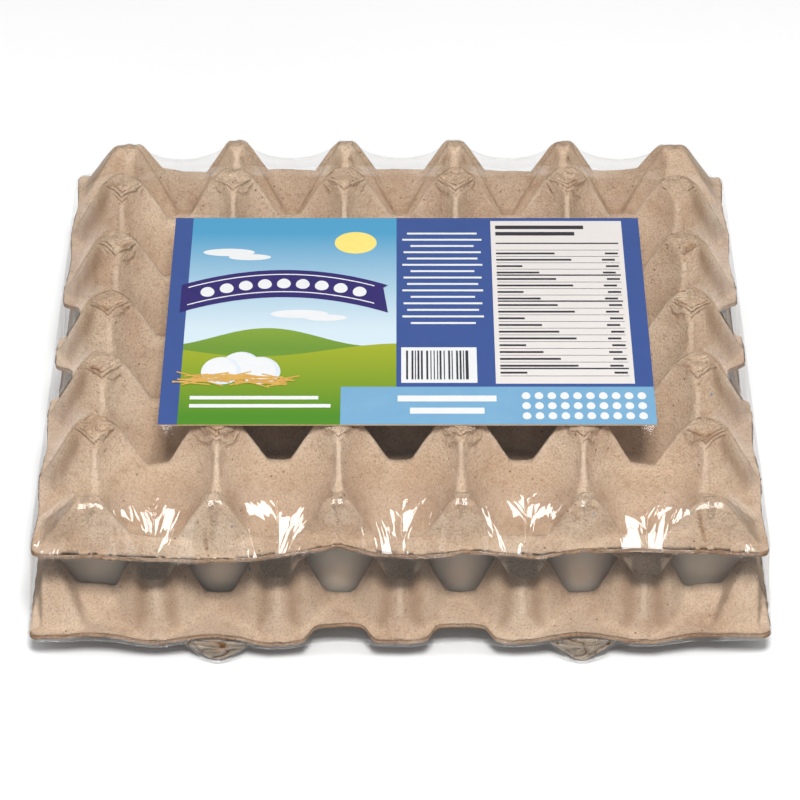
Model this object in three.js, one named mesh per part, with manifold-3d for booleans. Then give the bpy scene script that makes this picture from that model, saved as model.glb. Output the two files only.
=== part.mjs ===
// A pack of thirty eggs. Two moulded pulp trays of six by five cells are stacked crosswise:
// the lower one holds the eggs, the upper one is empty and covers them. A printed card lies
// on the upper tray, and a shrink film wraps the whole pack.
// Millimetres, +Z up. The origin is at the middle of the underside, and the front faces -Y.

import * as THREE from 'three';
import { mergeVertices } from 'three/addons/utils/BufferGeometryUtils.js';
import Module from 'manifold-3d';

const wasm = await Module();
wasm.setup();

// ---------------------------------------------------------------- driving dimensions
const PITCH = 49;            // from the middle of one egg to the next
const PULP = 1.9;            // wall thickness of the moulded pulp
const TIP = 42.3;            // height of a post above the underside of the cups
const CAP = 7.5;             // half width of a post's flat top
const POST_ROUND = 1.5;      // a post's plan: 1 is a diamond, 2 is a circle
const POST_SLOPE = 1.75;     // a post's edge drops 1.75 mm for each millimetre outwards
const POST_BASE = 18.5;      // half width of a post where it meets the crest
const SADDLE = 20.4;         // crest between two posts
const RIM_TOP = 15.2;        // upper face of the rim
const CUP_FLOOR = 13;        // radius of a cup's floor
const CUP_MOUTH = 27.5;      // radius that a cup's wall would have at the height of the tips
const CUP_CURVE = 1.65;      // 1 is a straight cone, more is a rounder bowl

const LONG_RIM = 149;        // rim, measured along the six cells
const SHORT_RIM = 145.5;     // rim, measured along the five cells
const LIP_IN = 144.2;        // crest that closes the last cells of the long direction
const LIP_OUT = 146.4;
const LIP = 19.5;            // height of that crest
const END_CUP = 2.49 * PITCH;
const END_POST = 141.4;      // half posts that stand on that crest
const END_DEPTH = 4;         // half of their cap, along the long direction
const END_TIP = 36.6;
const END_CAP = 4.25;        // half of their cap, along the short direction
const CORNER_TIP = 34.8;     // the half posts at the corners are lower and broader
const CORNER_CAP = 6;
const END_SLOPE = 1.6;        // how steeply they fall sideways
const CORNER_SLOPE = 1.4;
const SKIRT = 17;            // crest between the last posts of the short direction
const SKIRT_IN = 2.55 * PITCH;  // the outer wall falls from there to the rim
const SKIRT_RUN = 6;         // width of the flat rim below that wall
const SKIRT_SLOPE = 2.15;
const CORNER = 23;           // crest beside a corner, which is filled out higher
const KEEL_HALF = 3;         // narrow keel that each end cup sends out to the lip
const KEEL_SLOPE = 1.9;
const KEEL_END = 142.6;
const RIM_SCALLOP = 0.6;     // the rim bulges at each post of the short ends
const NOTCH_DEPTH = 7;       // finger notches at the two middle cells of the short ends
const CORNER_CUT = 3;        // length of the bevel across a corner of the rim
const FOOT = { off: 1.5 * PITCH, inner: 140.6, outer: 142.8, top: 14.6, low: 0.4, halfTop: 15.5 };

const STACK = 42.7;          // one tray's height in the stack
const ARCH = 3.3;            // the middle of the upper tray stands this much higher
const GAP = 0.3;             // between pieces that touch

const EGG_LENGTH = 56;
const EGG_RADIUS = 21.5;
const EGG_TAPER = 0.06;      // the lower end is the narrower one
const EGG_SIDES = 10;
const EGG_BANDS = 6;

const CARD = { width: 200, depth: 163, thick: 0.35, x: 3, y: -23 };

const FILM = 0.4;
const FILM_GAP = 0.7;        // from a tray's edge to the film's outer face
const FILM_SOLE = 143.6;     // half width of the film's flat underside
const FILM_SIDE = 12;        // height at which the film's side is upright
const FILM_CUT = 3;          // length of the bevel across the film's corners
const VENT_HALF = 5;         // half width of the vent hole in the film's underside

// ---------------------------------------------------------------- heights in the stack
const LOWER_Z = FILM + GAP;
const UPPER_Z = LOWER_Z + STACK;
const CARD_Z = UPPER_Z + TIP + ARCH + GAP;
const FILM_TOP = CARD_Z + CARD.thick + GAP + FILM;

// ---------------------------------------------------------------- small helpers
const clamp = (value, low, high) => Math.min(high, Math.max(low, value));
const mix = (from, to, t) => from + (to - from) * t;

function smooth(from, to, value) {
  const t = clamp((value - from) / (to - from), 0, 1);
  return t * t * (3 - 2 * t);
}

function pulpMaterial() {
  return new THREE.MeshStandardMaterial({ color: 0xc6aa8d, roughness: 0.95, metalness: 0 });
}

function named(name, geometry, material) {
  const mesh = new THREE.Mesh(geometry, material);
  mesh.name = name;
  return mesh;
}

// ---------------------------------------------------------------- one tray's form
// Height that a cup's wall has reached at distance r from the cup's axis.
function cupRise(r) {
  const t = clamp((r - CUP_FLOOR) / (CUP_MOUTH - CUP_FLOOR), 0, 1);
  return (TIP - PULP) * (1 - (1 - t) ** (1 / CUP_CURVE));
}

// Height of the tray at a (along six cells) and b (along five cells). skin is 0 for the upper
// face and PULP for the underside, whose walls stand that much further out.
function trayHeight(a, b, skin) {
  const along = Math.abs(a);
  const across = Math.abs(b);
  const atEnd = along > (2 * PITCH + END_POST) / 2;

  const postB = (Math.min(2, Math.floor(across / PITCH)) + 0.5) * PITCH;
  const offB = Math.abs(across - postB);
  const outerPosts = clamp((across - 2 * PITCH) / (PITCH / 2), 0, 1);
  const skirt = mix(SKIRT, CORNER, smooth(END_CUP - 2 * CAP, END_CUP, along));
  const lip = mix(LIP, CORNER, outerPosts);
  const crestLine = mix(mix(SADDLE, skirt, outerPosts), lip,
    clamp((along - END_CUP) / (LIP_IN - END_CUP), 0, 1));
  const toRim = Math.max(clamp((along - LIP_OUT) / (LONG_RIM - LIP_OUT), 0, 1),
    clamp((across - SKIRT_IN) / (SHORT_RIM - SKIRT_RUN - SKIRT_IN), 0, 1));
  const ground = mix(crestLine, RIM_TOP, toRim);

  let post;
  if (atEnd) {
    const tip = across > 2 * PITCH ? CORNER_TIP : END_TIP;
    const cap = across > 2 * PITCH ? CORNER_CAP : END_CAP;
    const inward = Math.max(0, END_POST - END_DEPTH - along) * POST_SLOPE;
    const outward = clamp((along - END_POST - END_DEPTH) / (LONG_RIM - END_POST - END_DEPTH), 0, 1);
    const fall = across > 2 * PITCH ? CORNER_SLOPE : END_SLOPE;
    const sideways = Math.max(0, offB + skin / 2 - cap) * fall;
    post = tip - Math.max(inward, outward * (tip - RIM_TOP)) - sideways;
  } else {
    const offA = Math.abs(along - PITCH * Math.round(along / PITCH));
    const out = (offA ** POST_ROUND + offB ** POST_ROUND) ** (1 / POST_ROUND);
    const slope = mix(POST_SLOPE, SKIRT_SLOPE, outerPosts * (offA / (offA + offB + 0.01)));
    post = TIP - Math.max(0, out + skin / 2 - CAP) * slope;
  }
  const crest = Math.max(ground, post) - skin;

  if (along > KEEL_END + skin || across > 2.5 * PITCH) {
    return crest;
  }
  const cupA = along > 2 * PITCH ? END_CUP : (Math.floor(along / PITCH) + 0.5) * PITCH;
  const cupB = Math.min(2, Math.round(across / PITCH)) * PITCH;
  const sideB = Math.abs(across - cupB);
  const floor = PULP - skin;
  let cup = floor + cupRise(Math.hypot(along - cupA, sideB) - skin);
  if (along > END_CUP) {
    cup = Math.min(cup, floor + KEEL_SLOPE * Math.max(0, sideB - KEEL_HALF - skin));
  }
  return Math.min(crest, cup);
}

// The rim's outline at the short ends: a bulge at each post and two finger notches.
function shortRim(a) {
  const bulge = RIM_SCALLOP * Math.cos(2 * Math.PI * a / PITCH);
  const notch = NOTCH_DEPTH * (1 - smooth(9, 15, Math.abs(Math.abs(a) - PITCH / 2)));
  const corner = CORNER_CUT * smooth(LONG_RIM - 5, LONG_RIM, Math.abs(a));
  return SHORT_RIM + bulge - notch - corner;
}

// Grid lines of one quarter of the tray. Each row along b has its own cap and base lines, so
// that the narrow half posts and the keels of the last cells get their edges.
function gridRows() {
  const plain = { cap: CAP - 1, base: POST_BASE };
  const rows = [];
  for (let post = 0; post < 3; post += 1) {
    for (const step of [-plain.base, -plain.cap, 0, plain.cap, plain.base]) {
      const a = post * PITCH + step;
      if (a >= 0 && a < 2 * PITCH + CAP) {
        rows.push({ a, ...plain });
      }
    }
  }
  rows.push({ a: END_CUP - plain.cap, ...plain });
  rows.push({ a: END_CUP + plain.cap, ...plain });
  rows.push({ a: KEEL_END, cap: CAP, base: PITCH / 2 - KEEL_HALF - 1.5 });
  for (const a of [LIP_IN, LIP_OUT - 1, LONG_RIM]) {
    rows.push({ a, cap: END_CAP, base: END_CAP + (END_TIP - LIP) / END_SLOPE });
  }
  const mirrored = rows.filter((row) => row.a > 0).map((row) => ({ ...row, a: -row.a }));
  return [...mirrored.reverse(), ...rows];
}

function gridLine(row) {
  const line = [];
  for (let post = 0; post < 3; post += 1) {
    const middle = (post + 0.5) * PITCH;
    line.push(middle - row.base, middle - row.cap, middle);
    if (post < 2) {
      line.push(middle + row.cap, middle + row.base);
    }
  }
  const last = 2.5 * PITCH + CAP - 1;
  const rim = shortRim(row.a);
  line.push(last, mix(last, rim, 0.55), rim);
  return [...line.map((b) => -b).reverse(), ...line];
}

// Closes an upper and a lower face over one grid into a shell. Each four-sided patch is split
// along the diagonal that lies nearer to the true height at its middle.
function trayGeometry(arch) {
  const rows = gridRows();
  const grid = rows.map((row) => gridLine(row).map((b) => {
    const corner = CORNER_CUT * smooth(SHORT_RIM - 9, SHORT_RIM - 3, Math.abs(b));
    const cut = Math.abs(row.a) === LONG_RIM ? corner : 0;
    return { a: row.a - Math.sign(row.a) * cut, b };
  }));
  const columns = grid[0].length;
  const positions = [];
  const indices = [];
  for (const skin of [0, PULP]) {
    for (const line of grid) {
      for (const { a, b } of line) {
        positions.push(a, b, trayHeight(a, b, skin) + arch(a, b));
      }
    }
  }
  const under = grid.length * columns;
  const at = (row, column) => row * columns + column;

  for (let row = 0; row + 1 < grid.length; row += 1) {
    for (let column = 0; column + 1 < columns; column += 1) {
      const quad = [at(row, column), at(row + 1, column), at(row + 1, column + 1), at(row, column + 1)];
      for (const skin of [0, PULP]) {
        const [p, q, r, s] = quad.map((index) => index + (skin ? under : 0));
        const height = (index) => positions[3 * index + 2];
        const middleA = (positions[3 * p] + positions[3 * r]) / 2;
        const middleB = (positions[3 * p + 1] + positions[3 * r + 1]) / 2;
        const wanted = trayHeight(middleA, middleB, skin) + arch(middleA, middleB);
        const offPR = Math.abs((height(p) + height(r)) / 2 - wanted);
        const offQS = Math.abs((height(q) + height(s)) / 2 - wanted);
        const triangles = offPR < offQS ? [p, q, r, p, r, s] : [p, q, s, q, r, s];
        indices.push(...(skin ? triangles.reverse() : triangles));
      }
    }
  }

  const edge = [];
  for (let column = 0; column < columns - 1; column += 1) edge.push(at(0, column));
  for (let row = 0; row < grid.length - 1; row += 1) edge.push(at(row, columns - 1));
  for (let column = columns - 1; column > 0; column -= 1) edge.push(at(grid.length - 1, column));
  for (let row = grid.length - 1; row > 0; row -= 1) edge.push(at(row, 0));
  edge.forEach((p, index) => {
    const q = edge[(index + 1) % edge.length];
    indices.push(p, q, p + under, q, q + under, p + under);
  });

  const geometry = new THREE.BufferGeometry();
  geometry.setAttribute('position', new THREE.Float32BufferAttribute(positions, 3));
  geometry.setIndex(indices);
  return geometry;
}

// A mesh becomes a solid for joining, and a solid becomes a mesh again.
function toSolid(geometry) {
  const bare = geometry.clone();
  bare.deleteAttribute('normal');
  bare.deleteAttribute('uv');
  const merged = mergeVertices(bare, 1e-4);
  return new wasm.Manifold(new wasm.Mesh({
    numProp: 3,
    vertProperties: new Float32Array(merged.attributes.position.array),
    triVerts: new Uint32Array(merged.index.array),
  }));
}

function toGeometry(solid) {
  const mesh = solid.getMesh();
  const geometry = new THREE.BufferGeometry();
  geometry.setAttribute('position', new THREE.Float32BufferAttribute(mesh.vertProperties, 3));
  geometry.setIndex([...mesh.triVerts]);
  return geometry;
}

// Torn pulp feet hang from the short ends' rim, one below the second cell from each corner.
// Their outline is one curve, pulled down until it reaches FOOT.low.
function footGeometry(signA, signB) {
  const pull = (4 * FOOT.low - FOOT.top) / 3;
  const outline = new THREE.Shape();
  outline.moveTo(-FOOT.halfTop, FOOT.top);
  outline.bezierCurveTo(-FOOT.halfTop * 0.6, pull, FOOT.halfTop * 0.6, pull,
    FOOT.halfTop, FOOT.top);
  const depth = FOOT.outer - FOOT.inner;
  const plate = new THREE.ExtrudeGeometry(outline, { depth, curveSegments: 8, bevelEnabled: false });
  plate.rotateX(Math.PI / 2);
  const b = signB > 0 ? FOOT.outer : -FOOT.inner;
  plate.translate(signA * FOOT.off, b, 0);
  return plate;
}

function tray(name, arch) {
  let solid = toSolid(trayGeometry(arch));
  for (const signA of [-1, 1]) {
    for (const signB of [-1, 1]) {
      solid = solid.add(toSolid(footGeometry(signA, signB)));
    }
  }
  return named(name, toGeometry(solid), pulpMaterial());
}

const level = () => 0;
const arched = (a, b) => ARCH
  * (1 - smooth(100, 144, Math.abs(a)))
  * (1 - smooth(76, 124, Math.abs(b)));

const pack = new THREE.Group();

const lowerTray = tray('lower_tray', level);
lowerTray.position.z = LOWER_Z;
pack.add(lowerTray);

const upperTray = tray('upper_tray', arched);
upperTray.rotation.z = Math.PI / 2;
upperTray.position.z = UPPER_Z;
pack.add(upperTray);

// ---------------------------------------------------------------- eggs
function eggGeometry() {
  const profile = [];
  for (let band = 0; band <= EGG_BANDS; band += 1) {
    const u = -Math.cos(Math.PI * band / EGG_BANDS);
    const radius = EGG_RADIUS * Math.sqrt(Math.max(0, 1 - u * u)) * (1 + EGG_TAPER * u);
    profile.push(new THREE.Vector2(radius, EGG_LENGTH * (1 + u) / 2));
  }
  profile[0].x = 0;
  profile[EGG_BANDS].x = 0;
  return new THREE.LatheGeometry(profile, EGG_SIDES).rotateX(Math.PI / 2);
}

const eggColumns = [-END_CUP, -1.5 * PITCH, -0.5 * PITCH, 0.5 * PITCH, 1.5 * PITCH, END_CUP];
for (let row = 0; row < 5; row += 1) {
  eggColumns.forEach((x, column) => {
    const shell = new THREE.MeshStandardMaterial({ color: 0xe9e4dc, roughness: 0.5, metalness: 0 });
    const egg = named(`egg_r${row + 1}_c${column + 1}`, eggGeometry(), shell);
    egg.position.set(x, (row - 2) * PITCH, LOWER_Z + PULP + GAP);
    pack.add(egg);
  });
}

// ---------------------------------------------------------------- printed card
const print = new THREE.MeshStandardMaterial({ color: 0x5b8fc4, roughness: 0.5, metalness: 0 });
const card = named('card', new THREE.BoxGeometry(CARD.width, CARD.depth, CARD.thick), print);
card.position.set(CARD.x, CARD.y, CARD_Z + CARD.thick / 2);
pack.add(card);

// ---------------------------------------------------------------- shrink film
// The film is drawn taut over the tips, the card and both rims. Its rings run from the vent
// hole below, out and up the sides, and in again over the top. A ring is a rectangle with cut
// corners, given by its half widths and its height.
const shortEdge = SHORT_RIM + RIM_SCALLOP + FILM_GAP;
const longEdge = LONG_RIM + FILM_GAP;
const edgeTip = 2.5 * PITCH + CAP + FILM_GAP;
const rings = [
  { x: VENT_HALF, y: VENT_HALF, z: 0 },
  { x: FILM_SOLE, y: FILM_SOLE, z: 0 },
  { x: longEdge, y: shortEdge, z: FILM_SIDE },
  { x: longEdge, y: shortEdge, z: LOWER_Z + RIM_TOP + 2 },
  { x: shortEdge, y: longEdge, z: UPPER_Z + RIM_TOP - PULP - 2 },
  { x: shortEdge, y: longEdge, z: UPPER_Z + RIM_TOP + 2 },
  { x: edgeTip + 3, y: LIP_OUT + FILM_GAP, z: UPPER_Z + END_TIP + FILM_GAP },
  { x: edgeTip, y: LIP_OUT - 18, z: UPPER_Z + TIP + FILM_GAP },
  { x: Math.abs(CARD.x) + CARD.width / 2 + 1, y: 2 * PITCH + CAP + 1, z: FILM_TOP },
];

function ringPoints({ x, y, z }, inset, lift) {
  const [w, d] = [x - inset, y - inset];
  const corners = [[w - FILM_CUT, -d], [w, FILM_CUT - d], [w, d - FILM_CUT], [w - FILM_CUT, d]];
  const points = [...corners, ...corners.map(([px, py]) => [-px, -py])];
  return points.map(([px, py]) => [px, py, z + lift]);
}

function filmGeometry() {
  const loops = rings.map((ring) => ringPoints(ring, 0, 0));
  const inner = rings.map((ring, index) => {
    const below = index < 2;
    const above = index > 6;
    const inset = index === 0 ? 0 : FILM;
    return ringPoints(ring, inset, below ? FILM : above ? -FILM : 0);
  });
  const path = [...loops, ...inner.reverse()];
  const sides = path[0].length;
  const positions = path.flat(2);
  const indices = [];
  const quad = (p, q, r, s) => indices.push(p, q, r, p, r, s);
  for (let loop = 0; loop < path.length; loop += 1) {
    const next = (loop + 1) % path.length;
    if (loop === rings.length - 1) {
      // The two uppermost rings are closed by lids, one for each face of the film.
      for (let side = 1; side + 1 < sides; side += 1) {
        indices.push(loop * sides, loop * sides + side, loop * sides + side + 1);
        indices.push(next * sides, next * sides + side + 1, next * sides + side);
      }
    } else {
      for (let side = 0; side < sides; side += 1) {
        const far = (side + 1) % sides;
        quad(loop * sides + side, loop * sides + far, next * sides + far, next * sides + side);
      }
    }
  }
  const geometry = new THREE.BufferGeometry();
  geometry.setAttribute('position', new THREE.Float32BufferAttribute(positions, 3));
  geometry.setIndex(indices);
  return geometry;
}

const clear = new THREE.MeshStandardMaterial({
  color: 0xf2f2f2, roughness: 0.1, metalness: 0, transparent: true, opacity: 0.25,
});
pack.add(named('film', filmGeometry(), clear));

export default pack;
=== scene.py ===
# %% [markdown]
# # A shrink-wrapped pack of eggs
# This lesson dresses a simple CAD model of an egg pack. The real thing is made of five kinds
# of material: moulded pulp for the two trays, eggshell, printed card, ink and clear film.
# The CAD model gives every piece its place and size. Here each piece gets a fine mesh and a
# finish of its own, and the numbers below are the same driving sizes, in millimetres.

# %% [markdown]
# ## The frame
# The frame brings the CAD model's pieces as boxes and names, and moves what rides on it. All
# sizes in this lesson are millimetres, and Blender's unit is the metre, so MM turns one into
# the other.

# %% Load the frame
import math

import bpy
import numpy as np
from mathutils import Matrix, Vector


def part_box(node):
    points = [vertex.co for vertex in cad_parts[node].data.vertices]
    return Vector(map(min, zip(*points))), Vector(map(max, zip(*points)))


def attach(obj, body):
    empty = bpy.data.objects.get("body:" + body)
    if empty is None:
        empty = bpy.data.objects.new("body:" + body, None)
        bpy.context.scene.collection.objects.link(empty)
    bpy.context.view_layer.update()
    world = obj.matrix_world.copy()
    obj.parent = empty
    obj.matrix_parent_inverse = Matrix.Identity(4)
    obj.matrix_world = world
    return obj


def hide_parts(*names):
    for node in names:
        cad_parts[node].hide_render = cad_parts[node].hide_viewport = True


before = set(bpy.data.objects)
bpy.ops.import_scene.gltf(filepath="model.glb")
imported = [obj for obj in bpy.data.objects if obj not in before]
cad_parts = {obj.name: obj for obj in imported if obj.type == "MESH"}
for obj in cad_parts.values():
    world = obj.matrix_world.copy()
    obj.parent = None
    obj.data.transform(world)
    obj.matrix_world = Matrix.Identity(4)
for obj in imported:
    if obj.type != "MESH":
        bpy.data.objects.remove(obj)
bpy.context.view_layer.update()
MM = 0.001

# %% [markdown]
# ## Camera
# A pack like this is shown from the front and from well above, with a long lens that keeps
# its edges nearly parallel. A camera in Blender looks along its own -Z, so a turn about X of
# ninety degrees less the downward tilt points it at the pack.

# %% Camera
CAMERA_BACK = 1493.3         # mm in front of the pack's middle
CAMERA_UP = 1002.7           # mm above the surface that the pack stands on
CAMERA_TILT = 32.98          # degrees below the horizon
LENS = 186.9                 # mm
SENSOR = 36                  # mm, width of the sensor

camera_data = bpy.data.cameras.new("camera")
camera_data.lens = LENS
camera_data.sensor_width = SENSOR
camera_data.clip_end = 20
camera = bpy.data.objects.new("camera", camera_data)
camera.location = (0, -CAMERA_BACK * MM, CAMERA_UP * MM)
camera.rotation_euler = (math.radians(90 - CAMERA_TILT), 0, 0)
bpy.context.scene.collection.objects.link(camera)
bpy.context.scene.camera = camera
print("camera at", [round(v, 3) for v in camera.location])

# %% [markdown]
# ## Helpers for colours and nodes
# Colours are written as sRGB hex values, as a paint program shows them. Shaders work in
# linear light, so one function converts them. A second function adds a shader node, sets its
# sockets and properties, and links other nodes into it. Every material below is built with it.

# %% Colours and nodes
def paint(hex_value):
    channels = [int(hex_value[i:i + 2], 16) / 255 for i in (1, 3, 5)]
    linear = [c / 12.92 if c <= 0.04045 else ((c + 0.055) / 1.055) ** 2.4 for c in channels]
    return (*linear, 1)


def add(material, kind, links=None, stops=None, **settings):
    """A new shader node. Settings name its properties or sockets. Links feed a socket with a
    number, with one output of a node, or with a node, which then gives its first output."""
    node = material.node_tree.nodes.new("ShaderNode" + kind)
    for name, value in settings.items():
        if hasattr(node, name):
            setattr(node, name, value)
        else:
            node.inputs[name.replace("_", " ")].default_value = value
    for name, source in (links or {}).items():
        if isinstance(source, (int, float, tuple)):
            node.inputs[name].default_value = source
        else:
            output = source.outputs[0] if isinstance(source, bpy.types.Node) else source
            material.node_tree.links.new(output, node.inputs[name])
    for index, (position, colour) in enumerate(stops or []):
        elements = node.color_ramp.elements
        element = elements[index] if index < 2 else elements.new(position)
        element.position = position
        element.color = colour
    return node


def new_material(name):
    material = bpy.data.materials.new(name)
    material.use_nodes = True
    material.node_tree.nodes.clear()
    return material


def per_mm(size):
    """Texture scale at which one feature is size millimetres wide."""
    return 1 / (size * MM)


print("paint('#c9ac8f') =", [round(c, 3) for c in paint("#c9ac8f")])

# %% [markdown]
# ## Moulded pulp
# Egg trays are made from waste paper, soaked and sucked onto a wire mould. The dried pulp is
# tan, quite matt and speckled: fibres of darker and lighter paper show, and here and there a
# blue one. The colour mixes several scales. Clouds some 26 mm wide change the tone, browner
# patches of 7 mm lie over them, grain of about 1 mm gives the felt, and rare specks come from
# Voronoi cells, each of which has a middle and a random colour to pick it by.

# %% Paper, patches and specks
MOTTLE = 26                  # mm, width of the tonal clouds
BLOTCH = 7                   # mm, browner patches
GRAIN = 0.8                  # mm. Real fibres are thinner than a pixel, so lumps of them are drawn
SPECK_CELL = 4.2             # mm between dark specks
BLUE_CELL = 24               # mm between blue fibres
BLACK = (0, 0, 0, 1)
WHITE = (1, 1, 1, 1)


def felted_paper(material, place, grain):
    """Tan paper: wide clouds of tone, felt and browner patches."""
    mottle = add(material, "TexNoise", {"Vector": place}, Scale=per_mm(MOTTLE), Detail=5, Roughness=0.62)
    tone = add(material, "ValToRGB", {"Fac": mottle}, stops=[
        (0.32, paint("#d1b49a")), (0.68, paint("#ead4bc"))])
    felt = add(material, "ValToRGB", {"Fac": grain}, stops=[
        (0.28, paint("#94816e")), (0.5, paint("#f0ebe4")), (0.74, paint("#ffffff"))])
    felted = add(material, "MixRGB", {"Color1": tone, "Color2": felt}, blend_type="MULTIPLY", Fac=0.76)
    stains = add(material, "TexNoise", {"Vector": place}, Scale=per_mm(BLOTCH), Detail=3, Roughness=0.6)
    stain = add(material, "ValToRGB", {"Fac": stains}, stops=[(0.54, BLACK), (0.72, (0.3, 0.3, 0.3, 1))])
    return add(material, "MixRGB", {"Fac": stain, "Color1": felted}, Color2=paint("#9a7353"))


def speckled(material, place, paper):
    """Dark specks near the middle of some cells, and blue fibres in long cells."""
    cells = add(material, "TexVoronoi", {"Vector": place}, Scale=per_mm(SPECK_CELL))
    near = add(material, "ValToRGB", {"Fac": cells}, stops=[(0.07, WHITE), (0.13, BLACK)])
    chosen = add(material, "ValToRGB", {"Fac": cells.outputs["Color"]}, stops=[
        (0.58, BLACK), (0.68, WHITE)])
    specks = add(material, "MixRGB", {"Color1": near, "Color2": chosen}, blend_type="MULTIPLY", Fac=1)
    dark = add(material, "MixRGB", {"Fac": specks, "Color1": paper}, Color2=paint("#7d5c43"))
    stretched = add(material, "Mapping", {"Vector": place}, Rotation=(0.4, 0.9, 0.6), Scale=(1, 0.22, 1))
    threads = add(material, "TexVoronoi", {"Vector": stretched}, Scale=per_mm(BLUE_CELL))
    thread = add(material, "ValToRGB", {"Fac": threads}, stops=[(0.018, WHITE), (0.03, BLACK)])
    return add(material, "MixRGB", {"Fac": thread, "Color1": dark}, Color2=paint("#7f93a6"))


print("a speck about every", SPECK_CELL, "mm, grain of", GRAIN, "mm")

# %% [markdown]
# ## Marks on the pulp
# Some marks belong to one place only, so the mesh carries them as attributes. Torn is high on
# the edges, where the dark raw fibre shows. From_ridge is the distance from a post's seam. Along
# it runs a pale strip, as far as the mark of wear and light allows it: partly rubbed pulp,
# partly a painted highlight on the lit ridges. Another mark is painted shade, which browns the
# cups, the hollows beside the seams on the skirts, and the outer walls and flanges, where less
# light falls. A third greys and darkens the feet, most on the full tray: dust where they stood
# on the ground, and painted shade under the rim. From_cap is the distance from a post's middle,
# and folded says where thin folds may run round it: there the wet sheet was pushed together
# over the mould. Their dark lines, and a ring of torn round each cap, are partly brown stain
# and partly painted crease shade. A mark made by distance keeps a crisp outline, however coarse
# the mesh is.

# %% Rubbed strips and folds
PULP_MARKS = ("torn", "worn_and_lit", "painted_shade", "dust_and_shade", "folded", "from_ridge", "from_cap")
STRIP_EDGE = (1.6, 3.0)      # mm from a seam, where its pale strip fades out
STRIP_RAGGED = 1.1           # mm, how far the strip's edge wanders
FOLD_WANDER = 0.8            # mm, how far a fold strays from its distance
FOLD_WIDTH = 1               # mm
FOLDS = (                    # mm from a post's middle, and the part of a noise where it shows
    (8.1, (0.44, 0.5)),
    (9.3, (0.3, 0.36)),
    (10.4, (0.52, 0.58)),
)


def rubbed_and_lit_strip(material, place, from_ridge, worn_and_lit):
    ragged = add(material, "TexNoise", {"Vector": place}, Scale=per_mm(3), Detail=3)
    side = add(material, "Math", {0: ragged, 1: STRIP_RAGGED, 2: from_ridge}, operation="MULTIPLY_ADD")
    strip = add(material, "MapRange", {"Value": side}, From_Min=STRIP_EDGE[0], From_Max=STRIP_EDGE[1],
                To_Min=1, To_Max=0)
    return add(material, "Math", {0: strip, 1: worn_and_lit}, operation="MULTIPLY")


def cap_folds(material, place, from_cap, folded):
    """Each fold is a notch at its own distance, there only in patches."""
    wobble = add(material, "TexNoise", {"Vector": place}, Scale=per_mm(2.5), Detail=3)
    wandering = add(material, "Math", {0: wobble, 1: FOLD_WANDER, 2: from_cap}, operation="MULTIPLY_ADD")
    patch = add(material, "TexNoise", {"Vector": place}, Scale=per_mm(11), Detail=1)
    fold = 0
    for at, (absent, present) in FOLDS:
        line = add(material, "MapRange", {"Value": wandering}, From_Min=at, From_Max=at + FOLD_WIDTH)
        notch = add(material, "ValToRGB", {"Fac": line}, stops=[
            (0.1, BLACK), (0.35, WHITE), (0.55, WHITE), (0.9, BLACK)])
        here = add(material, "MapRange", {"Value": patch}, From_Min=absent, From_Max=present)
        one = add(material, "Math", {0: notch, 1: here}, operation="MULTIPLY")
        fold = add(material, "Math", {0: fold, 1: one}, operation="MAXIMUM")
    return add(material, "Math", {0: fold, 1: folded}, operation="MULTIPLY")


print(len(PULP_MARKS), "marks and", len(FOLDS), "folds round each cap")

# %% [markdown]
# ## The pulp's relief
# The face that lay on the wire mould keeps low lumps, and the caps are crumpled. Bump nodes
# stand in a chain, each adding its height to the normal of the one before, from coarse to fine.
# A bump changes only how light falls, so it suits relief far smaller than the outline shows.
# Bare fibre scatters nearly all light, so the roughness is high and the gloss is low.

# %% Relief and the whole pulp
RELIEF = {"lumps": 1.0, "seam": 0.4, "fold": 0.5, "cap": 1.8, "felt": 0.7}    # mm, height of each


def pulp_relief(material, place, grain, ridge, fold, from_cap):
    lumps = add(material, "TexNoise", {"Vector": place}, Scale=per_mm(2.6), Detail=5, Roughness=0.7)
    wrinkles = add(material, "TexNoise", {"Vector": place}, Scale=per_mm(2.4), Detail=2, Distortion=1.5)
    cap = add(material, "MapRange", {"Value": from_cap}, From_Min=7.5, From_Max=9.5, To_Min=1, To_Max=0)
    on_cap = add(material, "Math", {0: wrinkles, 1: cap}, operation="MULTIPLY")
    layers = {"lumps": lumps, "seam": ridge, "fold": fold, "cap": on_cap, "felt": grain}
    normal = None
    for name, height in layers.items():
        links = {"Height": height}
        if normal:
            links["Normal"] = normal
        normal = add(material, "Bump", links, Distance=RELIEF[name] * MM, Strength=1,
                     invert=name == "fold")
    return normal


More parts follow.
